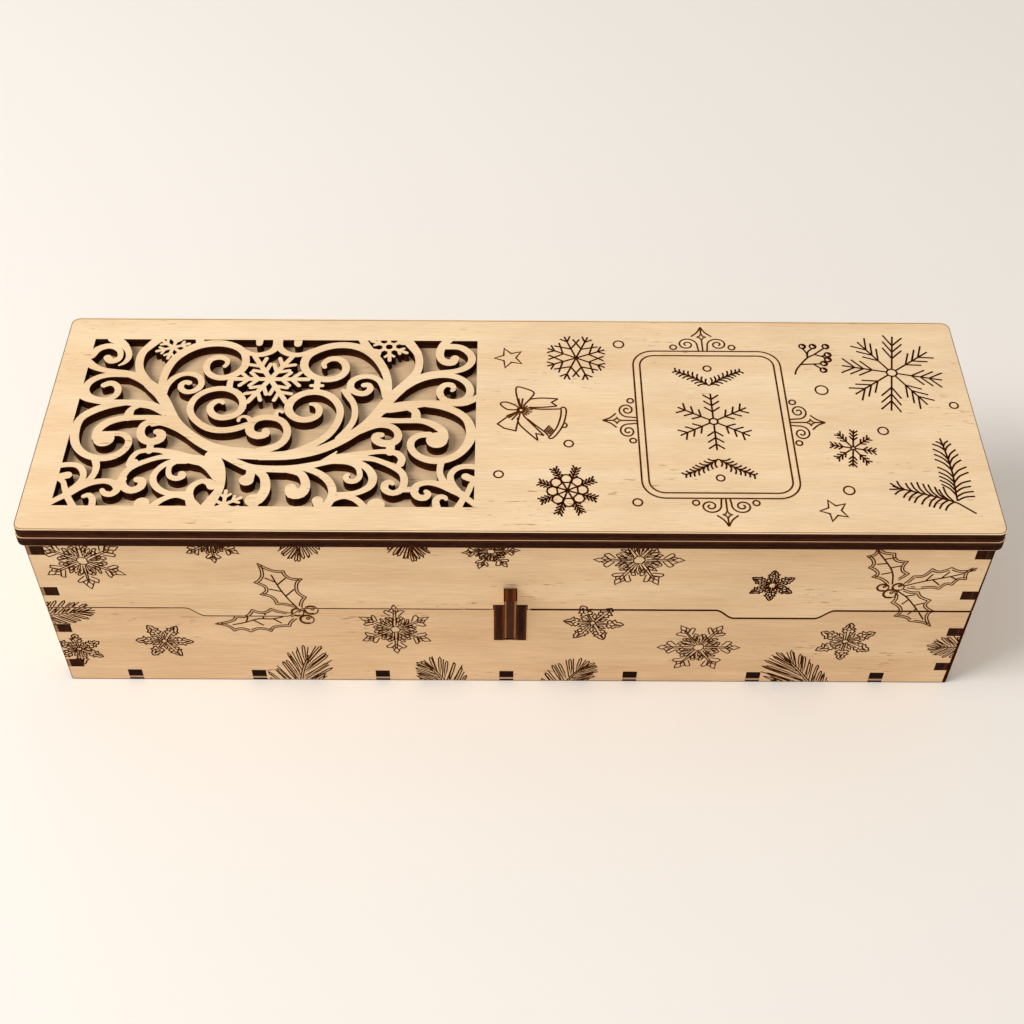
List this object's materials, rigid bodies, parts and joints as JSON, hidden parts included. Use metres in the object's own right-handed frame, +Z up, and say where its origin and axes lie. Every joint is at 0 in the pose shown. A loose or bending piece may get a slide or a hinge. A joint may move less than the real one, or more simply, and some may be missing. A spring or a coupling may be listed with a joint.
{
  "type": "hinged gift box for a bottle",
  "caption": "Long birch plywood gift box for a wine bottle, with a hinged deep lid, pierced scroll and snowflake panel, finger joints and a swinging wedge latch.",
  "frame": {"origin": "on the ground under the middle of the box, at the centre of the walls' footprint (the hinges and the latch stand out of it)", "axes": "+X to the right along the length of the box as its front is looked at, +Y towards the hinges at the back, +Z up; the latch is on the -Y side"},
  "size_m": [0.351, 0.1257, 0.092],
  "materials": {
    "wall_plywood": "bare birch plywood, cut edges charred brown",
    "lid_plywood": "bare pale birch plywood, cut edges charred brown",
    "floor_plywood": "bare birch plywood",
    "hinge_plywood": "birch plywood seen mostly on its browned cut edges",
    "charred_plywood": "birch plywood seen on its charred cut edges",
    "dowel_wood": "bare round wooden pin"
  },
  "bodies": {
    "base": {"base_front": "wall_plywood", "base_back": "wall_plywood", "base_left": "wall_plywood", "base_right": "wall_plywood", "base_floor": "floor_plywood", "latch_cheek_left": "charred_plywood", "latch_cheek_right": "charred_plywood", "latch_pin": "dowel_wood", "hinge_left_cheek_outer": "hinge_plywood", "hinge_left_cheek_inner": "hinge_plywood", "hinge_left_pin": "dowel_wood", "hinge_right_cheek_outer": "hinge_plywood", "hinge_right_cheek_inner": "hinge_plywood", "hinge_right_pin": "dowel_wood"},
    "lid": {"lid_front": "wall_plywood", "lid_back": "wall_plywood", "lid_left": "wall_plywood", "lid_right": "wall_plywood", "lid_board": "lid_plywood", "fret_panel": "lid_plywood", "hinge_left_leaf": "hinge_plywood", "hinge_right_leaf": "hinge_plywood"},
    "latch": {"latch_lever": "charred_plywood", "latch_cap": "charred_plywood"}
  },
  "joints": [
    {"name": "lid_hinge", "type": "hinge", "parent": "base", "child": "lid", "pos_m": [0, 0.06, 0.046], "axis": [-1, 0, 0], "range_deg": [0, 105]},
    {"name": "latch_swing", "type": "hinge", "parent": "base", "child": "latch", "pos_m": [0, -0.0525, 0.0308], "axis": [1, 0, 0], "range_deg": [0, 75]}
  ]
}
